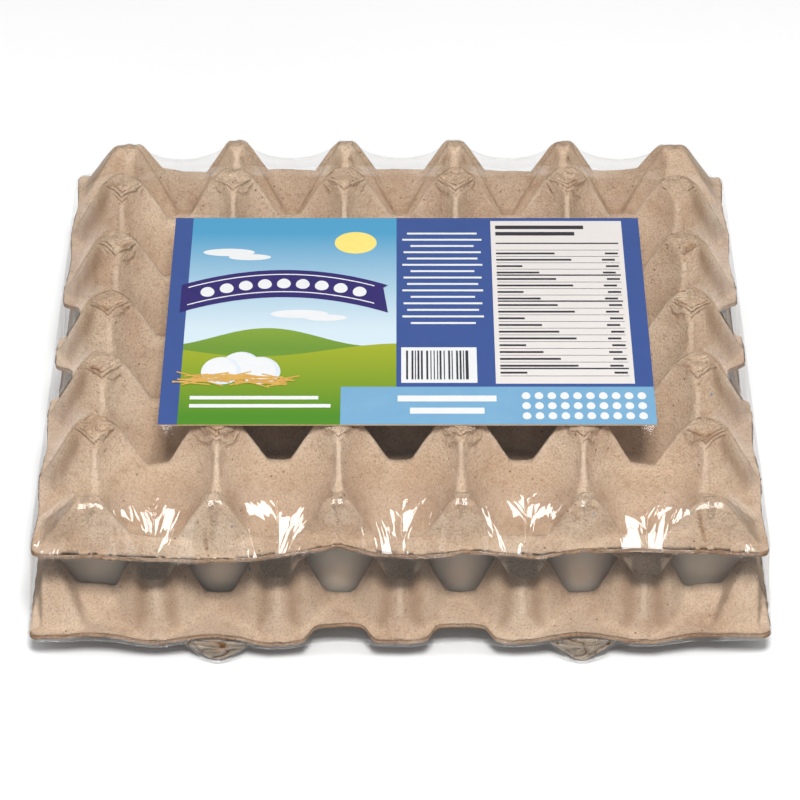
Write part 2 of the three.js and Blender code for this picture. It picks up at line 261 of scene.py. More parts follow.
def moulded_pulp():
    material = new_material("moulded_pulp")
    place = add(material, "TexCoord").outputs["Object"]
    torn, worn_and_lit, painted_shade, dust_and_shade, folded, from_ridge, from_cap = (
        add(material, "Attribute", attribute_name=label).outputs["Fac"] for label in PULP_MARKS)
    grain = add(material, "TexNoise", {"Vector": place}, Scale=per_mm(GRAIN), Detail=4, Roughness=0.75)
    colour = speckled(material, place, felted_paper(material, place, grain))
    # The pale strip on the seams is partly rubbed pulp and partly a painted highlight on the lit ridges.
    ridge = rubbed_and_lit_strip(material, place, from_ridge, worn_and_lit)
    pale = add(material, "Math", {0: ridge, 1: 0.26}, operation="MULTIPLY")
    colour = add(material, "MixRGB", {"Fac": pale, "Color1": colour}, Color2=paint("#efdcc6"))
    # Painted shade: browns the cups, the hollows beside the seams and the outer walls, where less light
    # falls.
    shade_share = add(material, "Math", {0: painted_shade, 1: 0.7}, operation="MULTIPLY")
    colour = add(material, "MixRGB", {"Fac": shade_share, "Color1": colour}, Color2=paint("#9c7c60"))
    # The feet are greyed by dust and darkened as painted shade under the rim.
    colour = add(material, "MixRGB", {"Fac": dust_and_shade, "Color1": colour}, Color2=paint("#a2998a"))
    fold = cap_folds(material, place, from_cap, folded)
    # Dark fold lines on the caps: partly brown stain, partly painted crease shade.
    creased = add(material, "Math", {0: fold, 1: 0.3}, operation="MULTIPLY")
    raw_fibre_and_crease_shade = add(material, "Math", {0: creased, 1: torn}, operation="MAXIMUM")
    ragged = add(material, "TexNoise", {"Vector": place}, Scale=per_mm(1.6), Detail=3)
    raw = add(material, "ValToRGB", {"Fac": ragged}, stops=[
        (0.36, paint("#62391c")), (0.66, paint("#a8743f"))])
    colour = add(material, "MixRGB", {"Fac": raw_fibre_and_crease_shade, "Color1": colour, "Color2": raw})
    normal = pulp_relief(material, place, grain, ridge, fold, from_cap)
    body = add(material, "BsdfPrincipled", {"Base Color": colour, "Normal": normal},
               Roughness=0.93, Specular_IOR_Level=0.2)
    add(material, "OutputMaterial", {"Surface": body})
    return material


pulp = moulded_pulp()
print("material", pulp.name, "with", len(pulp.node_tree.nodes), "nodes")

# %% [markdown]
# ## The tray's form
# A pulp tray is one sheet that never folds back over itself, so it is a height field: one
# height for each place. Two shapes are enough. The crest joins the posts by saddles, and each
# cup is a bowl that turns about its own axis. The tray is the lower of the two. Soft minimum
# and maximum round the edges where shapes meet, as wet pulp does. A tray has its own two
# directions, a along its six cells and b along its five, because one tray lies turned.

# %% Driving sizes of a tray, in millimetres
PITCH = 49                   # from cup to cup, and from post to post
PULP = 1.9                   # thickness of the sheet
TIP = 42.3                   # height of an inner post
CAP = 7.5                    # half width of its cap
CAP_DOME = 0.016             # how fast the cap falls off round its middle
POST_ROUND = 1.5             # plan of a post: 1 is a diamond, 2 is a circle
POST_SLOPE = 1.75            # fall over run of its sides
SADDLE = 20.4                # height of the crest between two posts
RIM_TOP = 15.2               # height of the rim's upper edge
CUP_FLOOR = 13               # radius of a cup's flat floor
CUP_MOUTH = 27.5             # radius of a cup at the height of the posts
CUP_CURVE = 1.65             # 1 makes a cup a cone, more makes it a bowl
LONG_RIM = 149               # half length of the tray
SHORT_RIM = 145.5            # half width of the tray
LIP_IN = 144.2               # the end lip's top lies between these two places
LIP_OUT = 146.4
LIP = 19.5                   # height of the end lip
END_CUP = 2.49 * PITCH       # middle of an end cup
END_POST = 141.4             # middle of a half post on an end
END_FROM = (2 * PITCH + END_POST) / 2    # from here on the nearest post is a half post
END_DEPTH = 4                # half depth of a half post's cap
END_TIP = 36.6
END_CAP = 4.25
END_SLOPE = 1.6
CORNER_TIP = 34.8            # the same for the posts at the corners
CORNER_CAP = 6
CORNER_SLOPE = 1.4
CORNER = 23                  # height of the crest at a corner
SKIRT = 17                   # height of the crest along a long side
SKIRT_IN = 2.55 * PITCH      # from here the skirt falls to the rim
SKIRT_RUN = 6                # width of the flat rim outside it
SKIRT_CURVE = 1.6            # over 1 the skirt falls fast and then levels out
SKIRT_SLOPE = 2.15           # fall of a post's side beside the skirt
KEEL_HALF = 3                # half width of the groove from an end cup to the end
KEEL_SLOPE = 1.9
KEEL_END = 142.6
RIM_SCALLOP = 0.6            # how far the rim bulges at each post
NOTCH_DEPTH = 7              # finger notches in the long sides
ARCH = 3.3                   # how far the empty tray on top is bowed up

LOWER_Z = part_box("lower_tray")[0].z / MM
UPPER_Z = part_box("upper_tray")[0].z / MM
print("trays stand at", round(LOWER_Z, 2), "and", round(UPPER_Z, 2), "mm")

# %% Small tools for numbers
def mix(start, end, share):
    return start + (end - start) * share


def smooth(start, end, value):
    t = np.clip((value - start) / (end - start), 0, 1)
    return t * t * (3 - 2 * t)


def soft_min(p, q, radius):
    share = np.clip(0.5 + 0.5 * (q - p) / radius, 0, 1)
    return mix(q, p, share) - radius * share * (1 - share)


def soft_max(p, q, radius):
    return -soft_min(-p, -q, radius)


def noise(x, y, cell, seed):
    """Smooth random field between -1 and 1. Its bumps are about one cell wide."""
    table = np.random.default_rng(seed).uniform(-1, 1, (128, 128))
    u, v = x / cell + 1000, y / cell + 1000
    i, j = np.floor(u).astype(int), np.floor(v).astype(int)
    s, t = smooth(0, 1, u - i), smooth(0, 1, v - j)
    corner = [[table[(i + di) % 128, (j + dj) % 128] for di in (0, 1)] for dj in (0, 1)]
    return mix(mix(corner[0][0], corner[0][1], s), mix(corner[1][0], corner[1][1], s), t)


print("noise sample:", round(float(noise(np.array([3.0]), np.array([4.0]), 2, 1)[0]), 3))

# %% Where the posts and cups are
def cap_diamond(da, db, a, b, seed):
    """Distance from a post's middle as a diamond measures it, with a wobble."""
    return (np.abs(da) ** 1.15 + np.abs(db) ** 1.15) ** (1 / 1.15) - 0.5 * noise(a, b, 9, seed + 2)


def groove(distance, place, width):
    return np.exp(-((distance - place) / width) ** 2)


def nearest_post(a, b):
    """Distances from the nearest whole post both ways, and the middle of that post's row."""
    along, across = np.abs(a), np.abs(b)
    row = (np.minimum(2, np.floor(across / PITCH)) + 0.5) * PITCH
    return np.abs(along - PITCH * np.round(along / PITCH)), np.abs(across - row), row


def nearest_cup(a, b):
    along, across = np.abs(a), np.abs(b)
    cup_a = np.where(along > 2 * PITCH, END_CUP, (np.floor(along / PITCH) + 0.5) * PITCH)
    cup_b = np.minimum(2, np.round(across / PITCH)) * PITCH
    return along - cup_a, np.abs(across - cup_b)


def from_post(a, b):
    """Distances from the nearest post's middle. Half posts are longer than they are deep."""
    along = np.abs(a)
    off_a, off_b, _ = nearest_post(a, b)
    at_end = along > END_FROM
    da = np.where(at_end, 1.25 * np.maximum(np.abs(along - END_POST) - 1, 0), off_a)
    return da, np.where(at_end, 1.2 * off_b, off_b)


print("a post beside (10, 20) is", [float(v) for v in nearest_post(10.0, 20.0)], "away, in that row")

# %% Parts of the height
def ground_height(along, across, outer):
    """The crest between the posts, and its fall to the rim."""
    skirt = mix(SKIRT, CORNER, smooth(END_CUP - 2 * CAP, END_CUP, along))
    lip = mix(LIP, CORNER, outer)
    to_lip = np.clip((along - END_CUP) / (LIP_IN - END_CUP), 0, 1)
    crest_line = mix(mix(SADDLE, skirt, outer), lip, to_lip)
    fall_a = np.clip((along - LIP_OUT) / (LONG_RIM - LIP_OUT), 0, 1)
    fall_b = np.clip((across - SKIRT_IN) / (SHORT_RIM - SKIRT_RUN - SKIRT_IN), 0, 1)
    return mix(crest_line, RIM_TOP, np.maximum(fall_a, 1 - (1 - fall_b) ** SKIRT_CURVE))


def post_height(off_a, off_b, outer, skin, tip):
    """A whole post: a domed cap on sides that spread as a rounded diamond."""
    out = (off_a ** POST_ROUND + off_b ** POST_ROUND) ** (1 / POST_ROUND)
    slope = mix(POST_SLOPE, SKIRT_SLOPE, outer * off_a / (off_a + off_b + 0.01))
    return tip - soft_max(CAP_DOME * out ** 2, (out + skin / 2 - CAP) * slope, 4)


def half_post_height(along, across, off_b, skin):
    """A half post on an end. Its outer face falls straight to the rim."""
    corner = across > 2 * PITCH
    tip = np.where(corner, CORNER_TIP, END_TIP)
    cap = np.where(corner, CORNER_CAP, END_CAP)
    inward = (END_POST - END_DEPTH - along) * POST_SLOPE
    outward = np.clip((along - END_POST - END_DEPTH + 1.5) / (LONG_RIM - END_POST - END_DEPTH), 0, 1)
    sideways = (off_b + skin / 2 - cap) * np.where(corner, CORNER_SLOPE, END_SLOPE)
    drop = soft_max(soft_max(inward, 0 * inward, 3), sideways, 3.5)
    return tip - np.maximum(drop, 0) - outward * (tip - RIM_TOP)


def cup_height(along, across, skin):
    """A bowl on a flat floor. An end cup opens outwards into a groove."""
    off_a, off_b = nearest_cup(along, across)
    floor = PULP - skin
    t = np.clip((np.hypot(off_a, off_b) - skin - CUP_FLOOR) / (CUP_MOUTH - CUP_FLOOR), 0, 1)
    cup = floor + (TIP - PULP) * (1 - (1 - t) ** (1 / CUP_CURVE))
    keel = floor + KEEL_SLOPE * np.maximum(0, off_b - KEEL_HALF - skin)
    return np.where(along > END_CUP, soft_min(cup, keel, 1.5), cup)


print("a cup's floor is", round(float(cup_height(24.5, 0.0, 0)), 1), "mm up")

# %% [markdown]
# ## Relief of the tray
# Wet pulp is pushed together on the post caps, so these are crumpled inside a diamond. Seams of
# the mould leave low strips that run from post to post. They are part of the mesh where they
# change the outline or throw a shadow. The height then adds up: ground and posts together, cut
# by the cups, plus relief on the upper face and a little waviness on both faces.

# %% Height of a tray
SEAM_HALF = (1.3, 2.0)       # mm, where a seam's strip starts and ends its fall
PAST_CAP = (12.5, 14)        # mm from a post's middle, where its seams start
WAVES = ((0.3, 9, 5), (0.18, 3.4, 6))    # height and width in mm, and the seed of each waviness


def crumpled_cap(a, b, seed):
    diamond = cap_diamond(*from_post(a, b), a, b, seed)
    creased = 0.5 - 1.5 * np.abs(noise(a, b, 5, seed)) + 0.45 * noise(a, b, 2.1, seed + 1)
    return 0.7 * creased * (1 - smooth(7.5, 9.5, diamond))


def seam_relief(along, across, off_a, off_b):
    """Strips on the seams, and beside those on the skirt a hollow."""
    skirt = smooth(SKIRT_IN + 4, SKIRT_IN + 7, across) * (1 - smooth(137, 139, across))
    skirt = skirt * (along <= END_FROM)
    strip_a = (1 - smooth(*SEAM_HALF, off_a)) * np.maximum(skirt, smooth(*PAST_CAP, off_b))
    strip_b = (1 - smooth(*SEAM_HALF, off_b)) * smooth(*PAST_CAP, off_a) * (along < END_POST - 12)
    return 0.3 * np.maximum(strip_a, strip_b) - 1.1 * groove(off_a, 5.5, 2.6) * skirt


def tray_height(a, b, skin, seed):
    """Height of the upper face, or of the underside where skin is the sheet's thickness."""
    along, across = np.abs(a), np.abs(b)
    off_a, off_b, row = nearest_post(a, b)
    outer = np.clip((across - 2 * PITCH) / (PITCH / 2), 0, 1)
    variety = 0.5 * noise(np.round(along / PITCH) * 31 * np.sign(a), row * np.sign(b), 3, seed)
    post = post_height(off_a, off_b, outer, skin, TIP + 0.3 + variety)
    post = np.where(along > END_FROM, half_post_height(along, across, off_b, skin), post)
    crest = soft_max(ground_height(along, across, outer), post, 2.2) - skin
    inside = (along <= KEEL_END + skin) & (across <= 2.5 * PITCH)
    height = np.where(inside, soft_min(crest, cup_height(along, across, skin), 1.3), crest)
    if skin == 0:
        height = height + np.where(along > END_FROM, 0.6, 1) * crumpled_cap(a, b, seed)
        height = height + seam_relief(along, across, off_a, off_b)
    for high, wide, shift in WAVES:
        height = height + high * noise(a, b, wide, seed + shift)
    return height


sample = tray_height(np.array([0.0, 24.5]), np.array([24.5, 0.0]), 0, 3)
print("a post is", round(float(sample[0]), 1), "mm high, a cup's floor", round(float(sample[1]), 1))

# %% [markdown]
# ## The tray's mesh
# The height field is sampled on a grid whose lines lie close together over the caps, where the
# folds are, and further apart over the cups. The outer lines bend until they follow the rim,
# which bulges at each post and has two finger notches on its long sides. The upper face and
# the underside share the grid. Between them runs a narrow torn edge that wanders in and out.

# %% Rim and grid
CORNER_RADIUS = 4
STRAIGHT_B = 128             # mm, grid lines are straight up to here, then follow the rim
FINE_REACH = (12, 16)        # mm from a post's middle, where the grid turns from fine to coarse


def short_rim(a):
    bulge = RIM_SCALLOP * np.cos(2 * np.pi * a / PITCH)
    notch = NOTCH_DEPTH * (1 - smooth(9, 15, np.abs(np.abs(a) - PITCH / 2)))
    return SHORT_RIM + bulge - notch


def follow(value, flat, edge):
    """Stretches what lies beyond flat so that the last line lands on the edge."""
    size = np.abs(value)
    share = np.clip((size - flat) / (np.max(size) - flat), 0, 1)
    return np.sign(value) * np.where(size > flat, mix(flat, edge, share), size)


def grid_lines(half, middles, fine, coarse):
    """Lines from -half to half, a fine step apart near the middles and a coarse one elsewhere."""
    spots = np.linspace(-half, half, 4001)
    near = np.min(np.abs(spots[:, None] - np.array(middles)[None, :]), axis=1)
    density = 1 / mix(fine, coarse, smooth(*FINE_REACH, near))
    reach = np.concatenate([[0], np.cumsum(density[:-1] * np.diff(spots))])
    return np.interp(np.linspace(0, reach[-1], round(reach[-1]) + 1), reach, spots)


def rim_grid(fine, coarse):
    posts_a = [PITCH * k for k in (-2, -1, 0, 1, 2)] + [-END_POST, END_POST]
    posts_b = [PITCH * (k + 0.5) for k in range(-3, 3)] + [-SHORT_RIM - 6, SHORT_RIM + 6]
    lines_a = grid_lines(LONG_RIM, posts_a, fine, coarse)
    lines_b = grid_lines(SHORT_RIM, posts_b, fine, coarse)
    a, b = np.meshgrid(lines_a, lines_b, indexing="ij")
    over_a = np.clip((np.abs(a) - LONG_RIM) / CORNER_RADIUS + 1, 0, 1)
    over_b = np.clip((np.abs(b) - SHORT_RIM) / CORNER_RADIUS + 1, 0, 1)
    both = np.hypot(over_a, over_b)
    cut = np.where(both > 0, 1 - np.maximum(over_a, over_b) / np.maximum(both, 1e-6), 0) * CORNER_RADIUS
    new_b = follow(b, STRAIGHT_B, short_rim(a)) - np.sign(b) * over_b * cut
    new_a = a - np.sign(a) * over_a * cut
    return new_a, new_b


sample_a, sample_b = rim_grid(0.9, 1.9)
print("tray grid:", sample_a.shape, "widest", round(float(sample_b.max()), 1), "mm")

# %% Meshes, grids and marks
def add_mesh(name, points, faces, materials, smooth_faces=True):
    mesh = bpy.data.meshes.new(name)
    mesh.from_pydata([tuple(p) for p in np.asarray(points) * MM], [], faces)
    mesh.validate()
    for material in materials:
        mesh.materials.append(material)
    mesh.polygons.foreach_set("use_smooth", [smooth_faces] * len(mesh.polygons))
    piece = bpy.data.objects.new(name, mesh)
    bpy.context.scene.collection.objects.link(piece)
    return piece


def grid_faces(rows, columns, first=0, flip=False):
    index = first + np.arange(rows * columns).reshape(rows, columns)
    quads = np.stack([index[:-1, :-1], index[1:, :-1], index[1:, 1:], index[:-1, 1:]], axis=-1)
    quads = quads.reshape(-1, 4)
    return (quads[:, ::-1] if flip else quads).tolist()


def border(rows, columns):
    """Indices of a grid's outermost points, once round."""
    index = np.arange(rows * columns).reshape(rows, columns)
    return np.concatenate([index[0, :-1], index[:-1, -1], index[-1, :0:-1], index[:0:-1, 0]])


def ring_faces(rings):
    """Faces between each ring of points and the next one."""
    faces = []
    for upper, lower in zip(rings[:-1], rings[1:]):
        faces += np.stack([np.roll(upper, -1), upper, lower, np.roll(lower, -1)], axis=-1).tolist()
    return faces


def mark(piece, label, values):
    """Stores one number for each point, which a material reads as an attribute."""
    attribute = piece.data.attributes.new(label, "FLOAT", "POINT")
    attribute.data.foreach_set("value", np.asarray(values, np.float32))


print("a grid of 3 by 4 points has", len(grid_faces(3, 4)), "faces and a border of", len(border(3, 4)))

# %% [markdown]
# ## How the trays are bent
# A tray bends as it dries and when the film pulls on it. The empty tray on top bows up in the
# middle, and its front rim waves, so the eggs show under it more in some places than in others.
# The rim of the full tray hangs down a little beside each post.

# %% Bend and place a tray
FRONT_WAVE = [(-149, -0.5), (-105, -2.2), (-74, -3.9), (-57, -2.2), (-36, 1.6), (-24.5, 3.4), (-12, 0.4),
              (6, -1.4), (30, 0.8), (55, -1.6), (66, 0.8), (93, 2.2), (119, 0.7), (149, -0.6)]
DROOP = 3.2                  # mm


def bend(a, b, turned):
    """How far a tray's rim and middle have been pushed up or down, away from its flat form."""
    along, across = np.abs(a), np.abs(b)
    rim = smooth(LIP_IN - 4, LONG_RIM, along)
    lift = 0.9 * noise(a, b, 30, 21 + turned) * np.maximum(rim, smooth(SKIRT_IN, SHORT_RIM, across))
    if turned:
        wave = np.interp(-b, *np.array(FRONT_WAVE).T)
        lift = lift * (1 - rim * (a < 0)) + rim * np.where(a < 0, wave, 0)
        return lift + ARCH * (1 - smooth(100, 144, along)) * (1 - smooth(76, 124, across))
    hang = smooth(SKIRT_IN + 3, SHORT_RIM, across) * (0.5 + 0.5 * np.cos(2 * np.pi * a / PITCH))
    return lift - DROOP * hang * (1 - smooth(115, 125, along))


def turn(a, b, turned):
    """From a tray's own directions to those of the pack."""
    return (-b, a) if turned else (a, b)


def tray_points(a, b, skin, seed, turned, base):
    z = tray_height(a, b, skin, seed) + bend(a, b, turned) + base
    return np.stack([*turn(a, b, turned), z], axis=-1).reshape(-1, 3)


heights = [z for _, z in FRONT_WAVE]
print("the front rim waves from", min(heights), "to", max(heights), "mm")

# %% [markdown]
# ## Feet
# Under each long side two wedges of rough pulp reach down to the ground. They are torn from the
# mould, so their faces are cracked. Each is made as two bumpy sheets that share an outline.

# %% Feet
FOOT_OFF = 1.5 * PITCH
FOOT_INNER, FOOT_OUTER = 140.6, 142.9
FOOT_TOP, FOOT_LOW, FOOT_HALF = 13.6, 0.4, 15.5
FOOT_POINT = 1.55            # 1 makes a foot a sharp wedge, 2 makes it round


def foot(sign_a, sign_b, seed, turned):
    """Points, faces and how cracked each point is."""
    rows, columns = 25, 61
    across = np.linspace(-1, 1, columns)[None, :] * np.ones((rows, 1))
    down = np.linspace(0, 1, rows)[:, None] * np.ones((1, columns))
    a = sign_a * FOOT_OFF + across * FOOT_HALF
    hem = FOOT_TOP + np.minimum(bend(a, 0 * a + sign_b * FOOT_OUTER, turned), 0)
    bottom = mix(hem - 0.6, FOOT_LOW, 1 - np.abs(across) ** FOOT_POINT)
    z = mix(hem, bottom + 0.35 * noise(a, across, 2.6, seed), down)
    crack = 1 - smooth(0.03, 0.16, np.abs(noise(a, 1.4 * z, 5.5, seed + 6)))
    sheets = []
    for face, depth in enumerate((FOOT_OUTER, FOOT_INNER)):
        swell = (0.9 - 1.2 * face) * np.sin(np.pi * np.clip(down * 1.15, 0, 1)) * (1 - across ** 2)
        rough = 0.5 * noise(a, z, 3.1, seed + 1 + face) + 0.35 * noise(a, z, 1.5, seed + 3 + face)
        outwards = swell + rough - (0.8 - 0.8 * face) * crack
        b = sign_b * (depth + outwards)
        sheets.append(np.stack([*turn(a, b, turned), z], -1).reshape(-1, 3))
    size = rows * columns
    outward = sign_b < 0
    faces = grid_faces(rows, columns, 0, outward) + grid_faces(rows, columns, size, not outward)
    edge = border(rows, columns)
    after = np.roll(edge, -1)
    walls = np.stack([edge, after, size + after, size + edge], -1)
    faces += (walls if outward else walls[:, ::-1]).tolist()
    return np.concatenate(sheets), faces, np.tile(crack.ravel(), 2)


print("a foot has", len(foot(1, 1, 0, False)[0]), "points")

# %% [markdown]
# ## The sheet and its marks
# The upper face, the underside and three rows of points between them close the sheet. Where the
# marks lie follows from how the tray was made and used and from where light falls on it, so each
# is worked out from the same distances as the form itself: seams and folds from the posts, and
# painted shade in the cups.

# %% Sheet of a tray
EDGE_SHARES = (0.12, 0.5, 0.88)          # how far down the torn edge its rows of points lie
EDGE_TORN = (0.95, 0.6, 1.0, 0.75)       # how torn those rows and the underside's border are
EDGE_RAGGED = ((2.4, 30), (6, 40))       # width of the edge's wandering in points, and its seeds


def sheet(a, b, seed, turned, base):
    """Points, faces and the rings of points at the edge, from the upper face to the underside."""
    top = tray_points(a, b, 0, seed, turned, base)
    under = tray_points(a, b, PULP, seed, turned, base)
    edge = border(*a.shape)
    outward = top[edge] / np.maximum(np.linalg.norm(top[edge][:, :2], axis=1), 1)[:, None]
    outward[:, 2] = 0
    run = np.arange(len(edge))
    walls = []
    for layer, share in enumerate(EDGE_SHARES):
        ragged = 0.2 + sum(0.25 * noise(run * 1.0, run * 0.0, wide, seed + shift + layer)
                           for wide, shift in EDGE_RAGGED)
        walls.append(mix(top[edge], under[edge], share) + outward * ragged[:, None])
    size = len(top)
    rows = [2 * size + len(edge) * layer + run for layer in range(len(walls))]
    rings = [edge] + rows + [size + edge]
    faces = grid_faces(*a.shape) + grid_faces(*a.shape, size, True) + ring_faces(rings)
    return np.concatenate([top, under, *walls]), faces, rings


def tray_marks(a, b, seed):
    """Marks of the upper face."""
    along, across = np.abs(a), np.abs(b)
    off_a, off_b, _ = nearest_post(a, b)
    past_cap = np.maximum(off_a, off_b)
    off_post, beside_post = from_post(a, b)
    diamond = cap_diamond(off_post, beside_post, a, b, seed)
    inner = along < END_FROM
    high = smooth(20, 26, tray_height(a, b, 0, seed)) + smooth(125, 130, across)
    half = PITCH / 2
    faint = smooth(-0.7, 0.1, noise(17 * np.round(a / half), 29 * np.round(b / half), 5, seed + 80))
    shown = (0.35 + 0.65 * faint) * (1 - smooth(140.6, 141.6, across))
    # A ring round each cap, partly brown stain and partly painted crease shade.
    cap_crease_line = smooth(6.4, 7.4, diamond) * (1 - smooth(8.6, 9.2, diamond))
    cap_crease_line = cap_crease_line * smooth(0.25, 0.5, noise(a, b, 7, seed + 70)) * smooth(1, 4, off_post)
    # Painted shade: the hollows beside the seams on the skirts, the outer walls and flanges, and the cups
    # are browned where less light falls.
    beside = groove(off_a, 6, 3.8) * smooth(125, 131, across) * (1 - smooth(139, 143, across))
    beside = beside * (1 - smooth(118, 126, along))
    outer_wall_shade = np.maximum(smooth(138, 142, along), smooth(118, 125, across))
    bowl = 1 - smooth(19, 25, np.hypot(*nearest_cup(a, b)))
    return {
        "torn": 0.55 * cap_crease_line,
        # Partly rubbed pulp, partly a painted highlight on the high, lit ridges.
        "worn_and_lit": smooth(10, 11, past_cap) * np.clip(high, 0, 1) * shown,
        "painted_shade": np.maximum(np.maximum(beside, 0.22 * outer_wall_shade), 0.45 * bowl),
        "dust_and_shade": 0 * a,
        "folded": smooth(0.8, 3.5, off_post) * inner,
        "from_ridge": np.minimum(off_a, off_b) / (0.75 + 0.35 * smooth(10, 24, past_cap)),
        "from_cap": np.where(inner, diamond, diamond + 5),
    }


print("marks on the upper face:", ", ".join(tray_marks(sample_a, sample_b, 3)))

# %% Build both trays
FAR = 20                     # mm, what from_ridge and from_cap say away from the upper face
FEET = ((-1, -1), (1, -1), (-1, 1), (1, 1))


def pulp_tray(name, steps, seed, turned, base):
    a, b = rim_grid(*steps)
    points, faces, rings = sheet(a, b, seed, turned, base)
    feet_from = len(points)
    cracks = []
    for number, (sign_a, sign_b) in enumerate(FEET):
        tab, tab_faces, crack = foot(sign_a, sign_b, seed + 60 + 7 * number, turned)
        faces += [[len(points) + corner for corner in face] for face in tab_faces]
        points = np.concatenate([points, tab + [0, 0, base]])
        cracks.append(0.1 + 0.8 * crack)
    piece = add_mesh(name, points, faces, [pulp])
    marks = {}
    for label, upper_face in tray_marks(a, b, seed).items():
        marks[label] = np.full(len(points), FAR if label.startswith("from_") else 0, np.float32)
        marks[label][:a.size] = upper_face.ravel()
    run = np.arange(len(rings[0]))
    patchy = 0.5 + 0.5 * noise(run * 1.0, run * 0.0, 9, seed + 50)
    for ring, amount in zip(rings[1:], EDGE_TORN):
        marks["torn"][ring] = amount * (0.55 + 0.45 * patchy)
    marks["torn"][feet_from:] = np.concatenate(cracks)
    # The full tray's feet: dust, and painted shade under the rim.
    marks["dust_and_shade"][feet_from:] = 0.1 if turned else 0.7
    for label, values in marks.items():
        mark(piece, label, values)
    return piece


lower = pulp_tray("lower_pulp_tray", (0.85, 2.1), 3, False, LOWER_Z)
upper = pulp_tray("upper_pulp_tray", (0.65, 1.9), 60, True, UPPER_Z)
for piece, node in ((lower, "lower_tray"), (upper, "upper_tray")):
    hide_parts(node)
    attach(piece, "root")
    print(piece.name, "has", len(piece.data.polygons), "faces")

# %% [markdown]
# ## Eggs
# A hen's egg is a solid of revolution, blunt at one end. A profile is turned about the axis
# with a fine mesh. No two eggs are alike, so each is scaled a little and leans a little in
# its cup. The shell is calcium carbonate: white, faintly warm, with a soft sheen and pores. It
# lets a little light in, so the edge of a shadow on it is soft. Subsurface scattering does that.

# %% Eggshell
PORE = 0.6                   # mm. Real pores are finer than a pixel, so they are drawn as dimples


def eggshell():
    material = new_material("eggshell")
    place = add(material, "TexCoord").outputs["Object"]
    cloud = add(material, "TexNoise", {"Vector": place}, Scale=per_mm(18), Detail=3)
    tone = add(material, "ValToRGB", {"Fac": cloud}, stops=[
        (0.35, paint("#dbd1c3")), (0.65, paint("#e4dbce"))])
    pores = add(material, "TexNoise", {"Vector": place}, Scale=per_mm(PORE), Detail=2)
    bump = add(material, "Bump", {"Height": pores}, Strength=0.25, Distance=0.1 * MM)
    body = add(material, "BsdfPrincipled", {"Base Color": tone, "Normal": bump}, Roughness=0.42,
               Specular_IOR_Level=0.45, Subsurface_Weight=0.3, Subsurface_Scale=4 * MM)
    add(material, "OutputMaterial", {"Surface": body})
    return material


shell = eggshell()
print("material", shell.name, "with", len(shell.node_tree.nodes), "nodes")

# %% One egg and thirty eggs
EGG_TAPER = 0.06             # how much wider the upper half is than the lower one
EGG_SIDES = 48
EGG_BANDS = 28
EGG_LEAN = 0.03              # mm sideways for each mm up, at most
EGG_SMALLEST = 0.965         # share of its cup's egg that the smallest egg has


def egg_points(low, high, lean, turned, size):
    u = -np.cos(np.linspace(0, np.pi, EGG_BANDS + 1))[1:-1, None]
    angle = np.linspace(0, 2 * np.pi, EGG_SIDES, endpoint=False)[None, :] + turned
    middle = (low + high) / 2
    half = (high - low) / 2
    radius = half[0] * size * np.sqrt(1 - u ** 2) * (1 + EGG_TAPER * u)
    ring = np.stack([radius * np.cos(angle), radius * np.sin(angle), half[2] * size * u + 0 * angle], -1)
    ends = np.array([[0, 0, -half[2] * size], [0, 0, half[2] * size]])
    points = np.concatenate([ring.reshape(-1, 3), ends])
    points[:, 0] += lean[0] * points[:, 2]
    points[:, 1] += lean[1] * points[:, 2]
    return points + middle - [0, 0, half[2] * (1 - size)]


def egg_faces():
    rings, sides = EGG_BANDS - 1, EGG_SIDES
    faces = []
    for side in range(sides):
        after = (side + 1) % sides
        for ring in range(rings - 1):
            faces.append((ring * sides + side, ring * sides + after,
                          (ring + 1) * sides + after, (ring + 1) * sides + side))
        faces.append((rings * sides, after, side))
        faces.append((rings * sides + 1, (rings - 1) * sides + side, (rings - 1) * sides + after))
    return faces


chance = np.random.default_rng(12)
for node in sorted(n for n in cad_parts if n.startswith("egg_")):
    low, high = (np.array(corner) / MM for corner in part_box(node))
    lean = chance.uniform(-EGG_LEAN, EGG_LEAN, 2)
    points = egg_points(low, high, lean, chance.uniform(0, 6.28), chance.uniform(EGG_SMALLEST, 1.0))
    egg = add_mesh("hen_" + node, points, egg_faces(), [shell])
    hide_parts(node)
    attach(egg, "root")

# %% [markdown]
# ## Printed card
# The card is thin board, coated and printed, and cut with a guillotine, so its edge shows raw
# board. Each ink is a flat shape a few hundredths of a millimetre above the board. That keeps
# its outline crisp from near and far, which a painted texture wouldn't. The design is a plain
# one: sky and hills, a ribbon, three eggs in a nest, ruled tables and bars in place of text.
# The coating is smooth, but it takes up some ink, so the print has a soft sheen.

# %% Coated paper and inks
def printed_ink(name, low_hex, high_hex, along_v=None):
    """Offset ink on coated board. With along_v it fades from the first to the second colour."""
    material = new_material(name)
    place = add(material, "TexCoord").outputs["Object"]
    if along_v:
        height = add(material, "SeparateXYZ", {"Vector": place}).outputs["Y"]
        start, end = along_v
        fade = add(material, "MapRange", {"Value": height}, From_Min=start * MM, From_Max=end * MM)
    else:
        fade = add(material, "TexNoise", {"Vector": place}, Scale=per_mm(14), Detail=6, Roughness=0.7)
    colour = add(material, "ValToRGB", {"Fac": fade}, stops=[
        (0.1, paint(low_hex)), (0.9, paint(high_hex))])
    grain = add(material, "TexNoise", {"Vector": place}, Scale=per_mm(0.5), Detail=2)
    bump = add(material, "Bump", {"Height": grain}, Strength=0.15, Distance=0.05 * MM)
    body = add(material, "BsdfPrincipled", {"Base Color": colour, "Normal": bump},
               Roughness=0.42, Specular_IOR_Level=0.3)
    add(material, "OutputMaterial", {"Surface": body})
    return material


